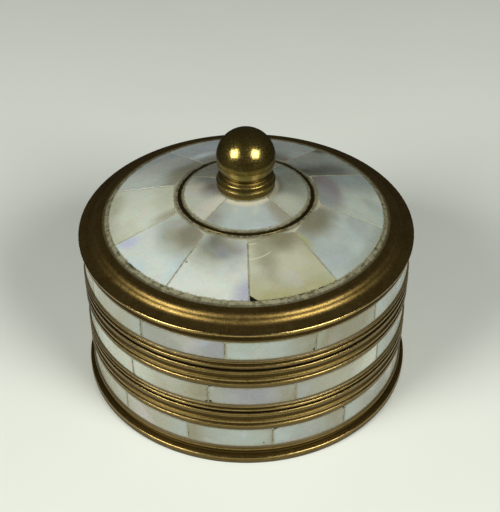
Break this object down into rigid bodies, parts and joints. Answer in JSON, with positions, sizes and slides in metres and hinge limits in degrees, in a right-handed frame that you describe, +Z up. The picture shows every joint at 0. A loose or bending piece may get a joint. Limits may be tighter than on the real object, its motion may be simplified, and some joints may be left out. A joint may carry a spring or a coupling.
{
  "type": "pill box",
  "caption": "Round stacking trinket box in aged brass with a domed lid and ball knob, inlaid all over with mother-of-pearl tiles; lid and middle tray lift off.",
  "frame": {"origin": "centre of the flat underside of the base, at the lowest point", "axes": "+Z up along the axis of turning, -Y towards the front"},
  "size_m": [0.0676, 0.0676, 0.0547],
  "materials": {
    "brass": "aged turned brass, worn bright on the edges",
    "knob_brass": "hand-polished brass",
    "shell": "polished mother of pearl, softly iridescent",
    "filler": "ivory cement filler with dark grime"
  },
  "bodies": {
    "base": {"base_tray": "brass", "base_filler": "filler", "base_tile_01": "shell", "base_tile_02": "shell", "base_tile_03": "shell", "base_tile_04": "shell", "base_tile_05": "shell", "base_tile_06": "shell", "base_tile_07": "shell", "base_tile_08": "shell", "base_tile_09": "shell", "base_tile_10": "shell", "base_tile_11": "shell", "base_tile_12": "shell"},
    "middle": {"middle_tray": "brass", "middle_filler": "filler", "middle_tile_01": "shell", "middle_tile_02": "shell", "middle_tile_03": "shell", "middle_tile_04": "shell", "middle_tile_05": "shell", "middle_tile_06": "shell", "middle_tile_07": "shell", "middle_tile_08": "shell", "middle_tile_09": "shell", "middle_tile_10": "shell", "middle_tile_11": "shell", "middle_tile_12": "shell"},
    "lid": {"lid_shell": "brass", "lid_band_filler": "filler", "lid_band_tile_01": "shell", "lid_band_tile_02": "shell", "lid_band_tile_03": "shell", "lid_band_tile_04": "shell", "lid_band_tile_05": "shell", "lid_band_tile_06": "shell", "lid_band_tile_07": "shell", "lid_band_tile_08": "shell", "lid_band_tile_09": "shell", "lid_band_tile_10": "shell", "lid_band_tile_11": "shell", "lid_band_tile_12": "shell", "lid_top_filler": "filler", "lid_outer_tile_01": "shell", "lid_outer_tile_02": "shell", "lid_outer_tile_03": "shell", "lid_outer_tile_04": "shell", "lid_outer_tile_05": "shell", "lid_outer_tile_06": "shell", "lid_outer_tile_07": "shell", "lid_outer_tile_08": "shell", "lid_outer_tile_09": "shell", "lid_outer_tile_10": "shell", "lid_divider_ring": "brass", "lid_inner_tile_01": "shell", "lid_inner_tile_02": "shell", "lid_inner_tile_03": "shell", "lid_inner_tile_04": "shell", "knob": "knob_brass", "knob_nut": "knob_brass"}
  },
  "joints": [
    {"name": "middle_lift", "type": "slide", "parent": "base", "child": "middle", "axis": [0, 0, 1], "range_m": [0, 0.05]},
    {"name": "lid_lift", "type": "slide", "parent": "middle", "child": "lid", "axis": [0, 0, 1], "range_m": [0, 0.05]}
  ]
}
